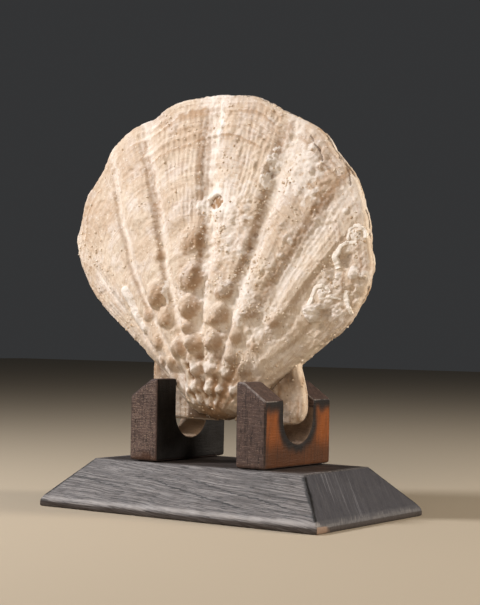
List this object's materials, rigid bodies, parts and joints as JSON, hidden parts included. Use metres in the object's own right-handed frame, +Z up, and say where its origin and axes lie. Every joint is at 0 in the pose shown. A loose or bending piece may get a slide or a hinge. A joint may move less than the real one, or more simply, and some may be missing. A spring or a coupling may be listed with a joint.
{
  "type": "fossil scallop on a stand",
  "caption": "Fossil lion's-paw scallop with both valves, ribbed and knobbed, standing hinge down in two notched blocks on a tapered dark wooden base.",
  "frame": {"origin": "centre of the base's underside, on the surface the stand rests on", "axes": "+Z up from the base through the shell, +X along the base's long side, to the right seen from the front, -Y towards the front, the side of the more knobbed valve"},
  "size_m": [0.1799, 0.094, 0.202],
  "materials": {
    "fossil_shell": "matte, chalky, cream to tan",
    "charred_wood": "charred and brushed, near black with grey grain and scorched orange-brown on the blocks' sides"
  },
  "bodies": {
    "root": {"front_valve": "fossil_shell", "back_valve": "fossil_shell", "left_block": "charred_wood", "right_block": "charred_wood", "base": "charred_wood"}
  },
  "joints": []
}
